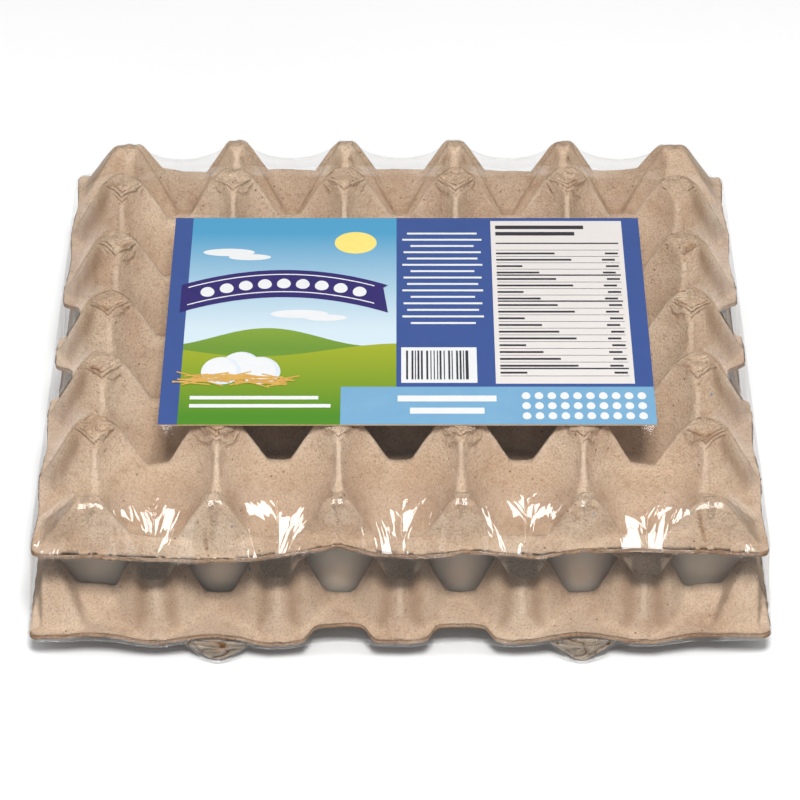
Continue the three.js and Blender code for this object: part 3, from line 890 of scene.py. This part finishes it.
card_low, card_high = (np.array(corner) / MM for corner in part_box("card"))
CARD_W, CARD_H = card_high[0] - card_low[0], card_high[1] - card_low[1]
V0 = card_low[1]             # the card's lower edge, from which fading inks are measured
inks = {
    "board": printed_ink("coated_paper", "#e2dfdb", "#eae8e5"),
    "raw": printed_ink("raw_board_edge", "#c9985c", "#dcb078"),
    "navy": printed_ink("ink_blue", "#304a84", "#38518e"),
    "indigo": printed_ink("ink_indigo", "#261d5e", "#2d2468"),
    "sky": printed_ink("ink_sky", "#c3d4dd", "#4893ba", (V0 + 62, V0 + 160)),
    "field": printed_ink("ink_field", "#467f1c", "#99a223", (V0 + 0, V0 + 70)),
    "hill": printed_ink("ink_hill", "#64892d", "#7f9a34", (V0 + 55, V0 + 80)),
    "band": printed_ink("ink_light_blue", "#6697ba", "#76a4c3"),
    "white": printed_ink("ink_white", "#d3d5d7", "#dfe0e1"),
    "panel": printed_ink("ink_panel", "#d3cecb", "#d9d4d1"),
    "dark": printed_ink("ink_dark", "#26252c", "#33323a"),
    "sun": printed_ink("ink_sun", "#e4cd62", "#e8d985"),
    "straw": printed_ink("ink_straw", "#b98a3c", "#d9b062"),
    "shade": printed_ink("ink_shade", "#c3cdd8", "#d5dce4"),
}
print("card", round(CARD_W, 1), "by", round(CARD_H, 1), "mm with", len(inks), "inks")

# %% [markdown]
# ## The print
# Offset printing lays one ink after another, each as a film far thinner than a hair. Here every
# shape is stamped as one flat face. Shapes that cross lie on layers a little apart, so that the
# renderer can tell which one is on top. The later layers are the ones printed last.

# %% Shapes of ink
INK_STEP = 0.02              # mm between one layer of ink and the next
OVAL_SIDES = 40
card_points, card_faces, card_ink = [], [], []


def stamp(outline, ink, layer):
    """Adds one flat shape. Its points are in mm from the card's lower left corner."""
    first = len(card_points)
    for u, v in outline:
        card_points.append((card_low[0] + u, card_low[1] + v, card_high[2] + layer * INK_STEP))
    card_faces.append(list(range(first, len(card_points))))
    card_ink.append(ink)


def bar(u, v, width, height, ink, layer):
    stamp([(u, v), (u + width, v), (u + width, v + height), (u, v + height)], ink, layer)


def oval(u, v, wide, tall, ink, layer, taper=0.0):
    """An oval. With a taper it is an egg's outline, blunt at the bottom."""
    turns = np.linspace(0, 2 * np.pi, OVAL_SIDES, endpoint=False)
    stamp([(u + wide * math.cos(t) * (1 - taper * math.sin(t)), v + tall * math.sin(t)) for t in turns],
          ink, layer)


LEFT = 7.7                   # mm, width of the blue border on the left
MIDDLE = 95.5                # where the landscape ends and the blue panel starts
TABLE = 136                  # left and right edge of the white table
TABLE_END = 192.5
BAND = 28                    # height of the light blue band at the bottom
BAND_START = 73

bar(0, 0, CARD_W, CARD_H, "navy", 1)
bar(LEFT, 0, MIDDLE - LEFT, CARD_H, "sky", 2)
across = np.linspace(LEFT, MIDDLE, 41)
hills = [(u, 66 + 7 * math.sin((u - 20) / 14)) for u in across]
stamp([(LEFT, 40), (MIDDLE, 40)] + hills[::-1], "hill", 3)
meadow = [(u, 56 - 5 * math.sin((u - 8) / 19)) for u in across]
stamp([(LEFT, 0), (MIDDLE, 0)] + meadow[::-1], "field", 4)
oval(78, 142, 9, 9, "sun", 3)
for layer, (u, v, wide) in enumerate(((24, 134, 11), (33, 130, 9), (55, 84, 12), (66, 81, 9))):
    oval(u, v, wide, wide * 0.28, "white", 3 + layer)
print("landscape of", len(card_faces), "shapes")

# %% Ribbon and nest
RIBBON_HIGH = 22             # mm
RIBBON_LINE = 0.8            # mm, width of the two white lines along it


def ribbon_top(u):
    """The ribbon is a shallow arch that rises a little to the right."""
    return 118 - 0.0065 * (u - 46) ** 2 + 0.03 * u


upper_edge = [(u, ribbon_top(u)) for u in np.linspace(5, 92, 31)]
lower_edge = [(u, v - RIBBON_HIGH) for u, v in upper_edge]
stamp(lower_edge + [(90, 105)] + upper_edge[::-1], "indigo", 6)
for lift in (-4, 4 - RIBBON_HIGH):
    line = [(u, v + lift) for u, v in upper_edge[1:-2]]
    stamp(line + [(u, v + RIBBON_LINE) for u, v in line[::-1]], "white", 7)
for u in np.linspace(16, 80, 9):
    oval(u, ribbon_top(u) - RIBBON_HIGH / 2, 2.9, 3.9, "white", 7, 0.1)
for layer, (u, v) in enumerate(((32, 44), (24, 40), (40, 40))):
    oval(u, v, 8.2, 10.4, "shade", 8 + 2 * layer, 0.1)
    oval(u - 0.9, v + 0.7, 7.2, 9.3, "white", 9 + 2 * layer, 0.1)
print("the ribbon is", round(ribbon_top(46) - ribbon_top(5), 1), "mm higher in its middle")

# %% Straw
STRAWS = 46
STRAW_WIDE = 0.9             # mm

chance = np.random.default_rng(5)
for straw in range(STRAWS):
    u, v = 32 + chance.uniform(-20, 20), 32 + chance.uniform(-3.4, 4)
    tilt, half_long = chance.uniform(-0.5, 0.5), chance.uniform(4, 8)
    du, dv = half_long * math.cos(tilt), half_long * math.sin(tilt)
    lower_side = [(u - du, v - dv), (u + du, v + dv)]
    upper_side = [(u + du, v + dv + STRAW_WIDE), (u - du, v - dv + STRAW_WIDE)]
    stamp(lower_side + upper_side, "straw", 14 + straw * 0.1)
print("nest of", STRAWS, "straws")

# %% Table on the white panel
ROW_STEP = 5.25              # mm from one row of the table to the next
HEAVY_ROWS = (0, 5, 9, 19)

bar(TABLE, BAND + 2.4, TABLE_END - TABLE, CARD_H - BAND - 5, "panel", 2)
for row, width in enumerate((38, 34)):
    bar(TABLE + 2, 153.5 - 5.4 * row, width, 3, "dark", 3)
for row in range(21):
    v = 141 - ROW_STEP * row
    bar(TABLE + 2, v, TABLE_END - TABLE - 4, 1.1 if row in HEAVY_ROWS else 0.35, "dark", 3)
    if row > 1:
        bar(TABLE + 2, v + 1.9, 11 + 7 * ((row * 5) % 4), 1.5, "dark", 3)
        bar(TABLE_END - 8 - (row % 2) * 1.5, v + 1.9, 5.5, 1.5, "dark", 3)
print("table rows end", round(v, 1), "mm above the card's lower edge")

# %% Bars in place of text, and the ruled label
for row in range(15):
    width = (30, 34, 27, 33)[row % 4]
    bar(MIDDLE + 19.5 - width / 2, 149 - 5.2 * row, width, 1.5, "white", 3)
for row, width in enumerate((52, 57)):
    bar(12, 18.5 - 6 * row, width, 2.6, "white", 6)

bar(MIDDLE + 2, BAND + 3, 31, 27, "white", 3)
u = MIDDLE + 4
while u < MIDDLE + 30:
    thick = chance.choice([0.45, 0.8, 1.2])
    bar(u, BAND + 5.5, thick, 22, "dark", 4)
    u += thick + chance.choice([0.6, 0.9, 1.4])

bar(BAND_START, 0, CARD_W - BAND_START, BAND, "band", 5)
for u, v, width in ((96, 17, 40), (101, 8, 30)):
    bar(u, v, width, 4.4, "white", 6)
for column in range(10):
    for row in range(3):
        oval(148 + 5.2 * column, 6.5 + 7.4 * row, 1.75, 2.6, "white", 6, 0.1)
print("the card carries", len(card_faces), "shapes of ink")

# %% [markdown]
# ## The board and its print as pieces
# The board is a plain box whose edge has a material of its own, because a cut shows the tan
# fibre inside. All ink goes into one mesh, with one material slot for each ink.

# %% Build the card
def board_mesh():
    x0, y0, z0 = card_low
    x1, y1, z1 = card_high
    points = [(x, y, z) for z in (z0, z1) for x, y in ((x0, y0), (x1, y0), (x1, y1), (x0, y1))]
    faces = [(3, 2, 1, 0), (4, 5, 6, 7)]
    faces += [(i, (i + 1) % 4, (i + 1) % 4 + 4, i + 4) for i in range(4)]
    piece = add_mesh("card_board", points, faces, [inks["board"], inks["raw"]], False)
    for face in piece.data.polygons[2:]:
        face.material_index = 1
    return piece


board = board_mesh()
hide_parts("card")
names = sorted(set(card_ink))
print_piece = add_mesh("card_print", card_points, card_faces, [inks[name] for name in names], False)
print_piece.data.polygons.foreach_set("material_index", [names.index(name) for name in card_ink])
for piece in (board, print_piece):
    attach(piece, "root")
print("card pieces:", board.name, print_piece.name)

# %% [markdown]
# ## Shrink film
# Heat-shrunk film pulls straight between whatever it touches. The shape of such a skin can be
# found by relaxation: every free point moves to the mean of its neighbours, and any point
# that would sink into a tray is put back on it. After a few hundred rounds the skin is taut
# between the posts. The same is done from below, and a band joins the two at the sides. A cloth
# simulation could do it too, but it takes longer and the film's tension is harder to set.

# %% Stretch a skin over an obstacle
FILM_N = 241                 # points along each side of the skins
FILM_AIR = 0.55              # mm of air between the pulp and the film
FILM_PULL = 0.0035           # mm that the upper skin sinks in each round
HOOP = 0.86                  # share of the tension that runs along the edge, near the edge


def stretch(obstacle, edge, along_rows, pull):
    """Relaxes a skin that rests on the obstacle, on a coarse grid first and then on finer ones."""
    skin = None
    for step in (8, 4, 2, 1):
        ground = obstacle[::step, ::step]
        if skin is None:
            skin = np.full(ground.shape, obstacle.max())
        else:
            skin = np.repeat(np.repeat(skin, 2, 0), 2, 1)[:-1, :-1]
        share = along_rows[::step, ::step][1:-1, 1:-1]
        fixed = edge[::step, ::step]
        skin[0], skin[-1], skin[:, 0], skin[:, -1] = fixed[0], fixed[-1], fixed[:, 0], fixed[:, -1]
        for _ in range(360 if step > 1 else 200):
            rows = (skin[:-2, 1:-1] + skin[2:, 1:-1]) / 2
            columns = (skin[1:-1, :-2] + skin[1:-1, 2:]) / 2
            sunk = mix(columns, rows, share) - pull * step ** 2
            skin[1:-1, 1:-1] = np.maximum(sunk, ground[1:-1, 1:-1])
    return skin


flat = np.zeros((9, 9))
tent = flat.copy()
tent[4, 4] = 10
print("a skin over one pole:", [round(float(h), 1) for h in stretch(tent, flat, 0.5 + flat, 0)[4]])

# %% What the film lies on
FILM_CORNER = 7              # mm, radius of the film's corners
SHORT_EDGE = SHORT_RIM + RIM_SCALLOP + 0.9
LONG_EDGE = LONG_RIM + 1


def film_grid(half_x, half_y, radius):
    """A square grid squeezed into a rectangle with round corners."""
    line = np.linspace(-1, 1, FILM_N)
    x, y = np.meshgrid(line * half_x, line * half_y, indexing="ij")
    over_x = np.clip((np.abs(x) - half_x) / radius + 1, 0, 1)
    over_y = np.clip((np.abs(y) - half_y) / radius + 1, 0, 1)
    both = np.maximum(np.hypot(over_x, over_y), 1e-6)
    keep = np.maximum(over_x, over_y) / both
    x = x - np.sign(x) * over_x * (1 - keep) * radius
    y = y - np.sign(y) * over_y * (1 - keep) * radius
    return x, y


def under_film(a, b, skin, seed, turned, base):
    """Height of a tray below the film. Beyond the rim it is the rim's own height."""
    a = np.clip(a, -LONG_RIM, LONG_RIM)
    b = np.clip(b, -SHORT_RIM, SHORT_RIM)
    return tray_height(a, b, skin, seed) + bend(a, b, turned) + base


top_x, top_y = film_grid(SHORT_EDGE, LONG_EDGE, FILM_CORNER)
pulp_top = under_film(top_y, -top_x, 0, 60, True, UPPER_Z)
beside_card = (top_x > card_low[0]) & (top_x < card_high[0])
on_card = beside_card & (top_y > card_low[1]) & (top_y < card_high[1])
pulp_top = np.where(on_card, np.maximum(pulp_top, card_high[2] + 0.3), pulp_top)

low_x, low_y = film_grid(LONG_EDGE, SHORT_EDGE, FILM_CORNER)
pulp_low = under_film(low_x, low_y, PULP, 3, False, LOWER_Z)
foot_across = np.clip(np.abs(np.abs(low_x) - FOOT_OFF) / FOOT_HALF, 0, 1)
foot_low = LOWER_Z + mix(FOOT_TOP, FOOT_LOW - 0.4, 1 - foot_across ** FOOT_POINT)
by_foot = (np.abs(low_y) > FOOT_INNER - 1.5) & (np.abs(low_y) < FOOT_OUTER + 2.2)
pulp_low = np.where(by_foot, np.minimum(pulp_low, foot_low), pulp_low)
print("film rests on", round(float(pulp_top.max()), 1), "mm above and", round(float(pulp_low.min()), 1))

# %% Film skins and the band between them
FILM_GROUND = 0.25           # mm, how low the film may come
WAIST = 0.9                  # mm, how far the band is pulled in halfway
PLEAT = 0.5                  # mm, depth of its pleats
BANDS = 14

hoop_x = smooth(112, 138, np.abs(top_y)) - smooth(108, 130, np.abs(top_x))
film_top = stretch(pulp_top + FILM_AIR, pulp_top + 0.5, 0.5 + (HOOP - 0.5) * hoop_x, FILM_PULL)
film_low = -stretch(-pulp_low + FILM_AIR, -pulp_low + FILM_AIR, 0.5 + 0 * pulp_low, 0)
film_low = np.maximum(film_low, FILM_GROUND)


def side_band(top, low):
    """Rings from the top skin's border down to the low skin's, pulled in a little halfway."""
    around = np.linspace(0, 2 * np.pi, len(top), endpoint=False)
    bands = []
    for ring in range(1, BANDS):
        share = ring / BANDS
        row = mix(top, low, share)
        inward = -row * [1, 1, 0] / np.linalg.norm(row[:, :2], axis=1)[:, None]
        pleats = PLEAT * noise(around * 240, 3 * share + 0 * around, 5, 80)
        bands.append(row + inward * ((WAIST + pleats) * math.sin(math.pi * share))[:, None])
    return bands


def shrink_film():
    """Points, faces, and the edges at the border of the upper skin."""
    size = FILM_N ** 2
    top = np.stack([top_x, top_y, film_top], -1).reshape(-1, 3)
    low = np.stack([low_x, low_y, film_low], -1).reshape(-1, 3)
    edge = border(FILM_N, FILM_N)
    bands = side_band(top[edge], low[edge])
    run = np.arange(len(edge))
    rings = [edge] + [2 * size + len(edge) * i + run for i in range(len(bands))] + [size + edge]
    faces = grid_faces(FILM_N, FILM_N) + grid_faces(FILM_N, FILM_N, size, True) + ring_faces(rings)
    rim = set(map(tuple, np.sort(np.stack([edge, np.roll(edge, -1)], -1), axis=1).tolist()))
    return np.concatenate([top, low, *bands]), faces, rim


film_points, film_faces, film_rim = shrink_film()
print("film has", len(film_points), "points, from", round(float(film_low.min()), 2), "mm up")

# %% [markdown]
# ## Clear film
# Shrink film is cast or blown polyolefin. It is clear and smooth, so it shows by its mirror
# image alone. Mixing a transparent shader with a mirror-like one gives just that, and the share
# of the mirror is the finish. It is low where the film is flat and faces the eye, higher at a
# grazing angle, and higher where crumpled film lies in layers. Film that clings to the pulp
# hardly mirrors. Crumpled film breaks into flat facets, each leaning its own way, so a light is
# mirrored by some of them only and makes sharp white shards. Voronoi cells give those facets.

# %% Clear film
FACET = 6.2                  # mm, width of one facet of crumpled film
FACET_TILT = 0.42            # how far a facet leans in a fully crumpled place
JAGGED = 4                   # mm, how far the facets' outlines wander
GRAZING = 5.5                # a high power keeps the mirror to the film's steepest sides
MIRROR_FLAT, MIRROR_CRUMPLED, MIRROR_GRAZING, MIRROR_CLINGING = 0.022, 0.065, 0.4, 0.12


def film_relief(material, place, crumple, fold_way):
    """Long folds and a fine waviness."""
    folds = add(material, "TexNoise", {"Vector": fold_way}, Scale=per_mm(5.5), Detail=2, Distortion=0.6)
    deep = add(material, "Math", {0: folds, 1: crumple}, operation="MULTIPLY")
    low = add(material, "Bump", {"Height": deep}, Strength=1, Distance=1.4 * MM)
    fine = add(material, "TexNoise", {"Vector": place}, Scale=per_mm(4), Detail=2)
    return add(material, "Bump", {"Height": fine, "Normal": low}, Strength=0.2, Distance=0.12 * MM)


def facet_normal(material, bump, crumple, fold_way):
    """The normal of the facet that a point lies on."""
    jagged = add(material, "TexNoise", {"Vector": fold_way}, Scale=per_mm(2.2), Detail=0).outputs["Color"]
    shift = add(material, "VectorMath", {0: jagged}, operation="SCALE", Scale=JAGGED * MM)
    way = add(material, "VectorMath", {0: fold_way, 1: shift}, operation="ADD")
    facets = add(material, "TexVoronoi", {"Vector": way}, Scale=per_mm(FACET)).outputs["Color"]
    lean = add(material, "VectorMath", {0: facets, 1: (0.5, 0.5, 0.5)}, operation="SUBTRACT")
    amount = add(material, "Math", {0: crumple, 1: FACET_TILT}, operation="MULTIPLY")
    tilt = add(material, "VectorMath", {0: lean, "Scale": amount}, operation="SCALE")
    leaning = add(material, "VectorMath", {0: bump, 1: tilt}, operation="ADD")
    return add(material, "VectorMath", {0: leaning}, operation="NORMALIZE")


def clear_film():
    material = new_material("shrink_film")
    place = add(material, "TexCoord").outputs["Object"]
    crumple = add(material, "Attribute", attribute_name="crumple").outputs["Fac"]
    cling = add(material, "Attribute", attribute_name="cling").outputs["Fac"]
    fold_way = add(material, "Attribute", attribute_name="fold_way").outputs["Vector"]
    bump = film_relief(material, place, crumple, fold_way)
    normal = facet_normal(material, bump, crumple, fold_way)
    gloss = add(material, "BsdfPrincipled", {"Normal": normal}, Base_Color=paint("#ffffff"),
                Roughness=0.04, Metallic=0.9, IOR=1.5)
    clear = add(material, "BsdfTransparent", Color=(0.955, 0.953, 0.95, 1))
    facing = add(material, "LayerWeight", {"Normal": bump}, Blend=0.5).outputs["Facing"]
    grazing = add(material, "Math", {0: facing, 1: GRAZING}, operation="POWER")
    flat_on = add(material, "MapRange", {"Value": crumple}, To_Min=MIRROR_FLAT, To_Max=MIRROR_CRUMPLED)
    share = add(material, "MapRange", {"Value": grazing, "To Min": flat_on}, To_Max=MIRROR_GRAZING)
    free = add(material, "MapRange", {"Value": cling}, To_Min=1, To_Max=MIRROR_CLINGING)
    mirror = add(material, "Math", {0: share, 1: free}, operation="MULTIPLY")
    both = add(material, "MixShader", {0: mirror, 1: clear, 2: gloss})
    add(material, "OutputMaterial", {"Surface": both})
    return material


film = add_mesh("shrink_wrap", film_points, film_faces, [clear_film()])
print("film has", len(film.data.polygons), "faces")

# %% [markdown]
# ## Where the film is crumpled
# The film is gathered at the front and the back, where it turns down over the rim. There its
# folds slant from each post towards the cups beside it, and at the sides they run up and down.
# So the mesh carries a place of its own for the folds, fold_way, which is stretched along them.
# Over the cups at the front the film hangs free and crumples most. Cling is high where the film
# lies on the pulp. Both marks and fold_way stay on the mesh, so the folds move with it.

# %% Marks on the film
FOLD_LENGTH = 3              # a fold is three times as long as it is wide
SLANT_OUT, SLANT_ASIDE = 0.83, 0.56      # direction of the folds beside a post
CRUMPLE_SIDE, CRUMPLE_TOP, CRUMPLE_FLANK = 0.06, 0.02, 0.06
BACK_END = 0.3               # how crumpled the back is, next to the front

film_x, film_y, film_z = film_points.T
on_side = np.arange(len(film_points)) >= 2 * FILM_N ** 2
cup_x = PITCH * np.round(film_x / PITCH)
from_cup = np.abs(film_x - cup_x)
near_end = smooth(104, 120, np.abs(film_y))

ends = smooth(128, 133, np.abs(film_y)) * (1 - 0.65 * smooth(15, 20, from_cup))
ends = ends * np.where(film_y < 0, 1, BACK_END)
flanks = CRUMPLE_FLANK * smooth(118, 130, np.abs(film_x))
crumple = CRUMPLE_TOP + (1 - CRUMPLE_TOP) * np.maximum(ends, flanks)
mark(film, "crumple", np.where(on_side, CRUMPLE_SIDE, crumple))

on_pulp = np.zeros(len(film_points))
on_pulp[:FILM_N ** 2] = (1 - smooth(0.8, 1.6, film_top - pulp_top)).ravel()
mark(film, "cling", on_pulp * (1 - smooth(126, 134, np.abs(film_y))))
print("crumpled:", round(100 * float((crumple > 0.5).mean())), "% of the film's points")

# %% Way of the folds
across = mix(2.5 * film_x, SLANT_ASIDE * np.abs(film_y) + SLANT_OUT * from_cup, near_end)
along = mix(film_y, SLANT_OUT * np.abs(film_y) - SLANT_ASIDE * from_cup, near_end)
round_way = np.where(np.abs(film_y) * LONG_EDGE > np.abs(film_x) * SHORT_EDGE, film_x, film_y)
across = np.where(on_side, round_way + 0.5 * film_z, across)
along = np.where(on_side, film_z, along)
each_cup = 41 * np.round(film_x / PITCH) + 13 * (film_x > cup_x)
way = np.stack([across, along / FOLD_LENGTH, 0.1 * film_y + each_cup * near_end], -1) * MM
fold_way = film.data.attributes.new("fold_way", "FLOAT_VECTOR", "POINT")
fold_way.data.foreach_set("vector", way.astype(np.float32).ravel())

for edge in film.data.edges:
    if tuple(sorted(edge.vertices)) in film_rim:
        edge.use_edge_sharp = True
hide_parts("film")
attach(film, "root")
print("sharp edges round the film:", len(film_rim))

# %% [markdown]
# ## Floor and light
# A pack shot is lit from high in front on a pale floor. The key is a rather small softbox, so
# the posts keep some shadow, and a weak one lower down reaches into the cups. Clear film shows
# only by what it mirrors, so a large softbox is seen by it alone and gives the white glints.
# The world is pale above and dark at the horizon, as in a studio with dark walls, which keeps
# the film clear at its steep sides. The floor throws no light back on the pack, else the eggs
# under the upper tray would be lit from below.

# %% Floor
FLOOR_HALF = 9000            # mm


def studio_floor():
    """Painted board: pale, matt, with the faintest clouds."""
    material = new_material("studio_floor")
    place = add(material, "TexCoord").outputs["Object"]
    cloud = add(material, "TexNoise", {"Vector": place}, Scale=3, Detail=2)
    tone = add(material, "ValToRGB", {"Fac": cloud}, stops=[
        (0.3, paint("#ebebeb")), (0.7, paint("#efefef"))])
    body = add(material, "BsdfPrincipled", {"Base Color": tone}, Roughness=0.9)
    add(material, "OutputMaterial", {"Surface": body})
    return material


floor_points = [(x * FLOOR_HALF, y * FLOOR_HALF, 0) for x, y in ((-1, -1), (1, -1), (1, 1), (-1, 1))]
floor = add_mesh("floor", floor_points, [(0, 1, 2, 3)], [studio_floor()], False)
floor.visible_diffuse = False
print("floor", round(2 * FLOOR_HALF * MM), "m wide")

# %% Lights
LIT_POINT = (0, 0, 0.06)     # m, the middle of the pack


def softbox(name, size, power, position):
    """A square light of some metres and watts, turned to the middle of the pack."""
    light = bpy.data.lights.new(name, "AREA")
    light.shape = "SQUARE"
    light.size = size
    light.energy = power
    lamp = bpy.data.objects.new(name + "_softbox", light)
    lamp.location = position
    aim = np.array(LIT_POINT) - np.array(position)
    lamp.rotation_euler = (math.acos(-aim[2] / np.linalg.norm(aim)), 0, math.atan2(-aim[0], aim[1]))
    bpy.context.scene.collection.objects.link(lamp)
    return lamp


softbox("key", 0.36, 51, (0.05, -1.38, 1.64)).visible_glossy = False
softbox("fill", 0.8, 4.5, (0, -1.82, 1.1)).visible_glossy = False
softbox("gloss", 1.35, 72, (0.05, -1.3, 1.62)).visible_diffuse = False

# %% World
HORIZON_GREY = 0.14
world = bpy.data.worlds.new("studio")
world.use_nodes = True
world.node_tree.nodes.clear()
way = add(world, "TexCoord").outputs["Generated"]
up = add(world, "SeparateXYZ", {"Vector": way}).outputs["Z"]
sky = add(world, "ValToRGB", {"Fac": up}, stops=[
    (0.05, (HORIZON_GREY, HORIZON_GREY, HORIZON_GREY, 1)), (0.85, WHITE)])
studio = add(world, "Background", {"Color": sky}, Strength=0.7)
add(world, "OutputWorld", {"Surface": studio})
bpy.context.scene.world = world
bpy.context.scene.view_settings.view_transform = "Standard"
print("world", world.name, "with", len(world.node_tree.nodes), "nodes")
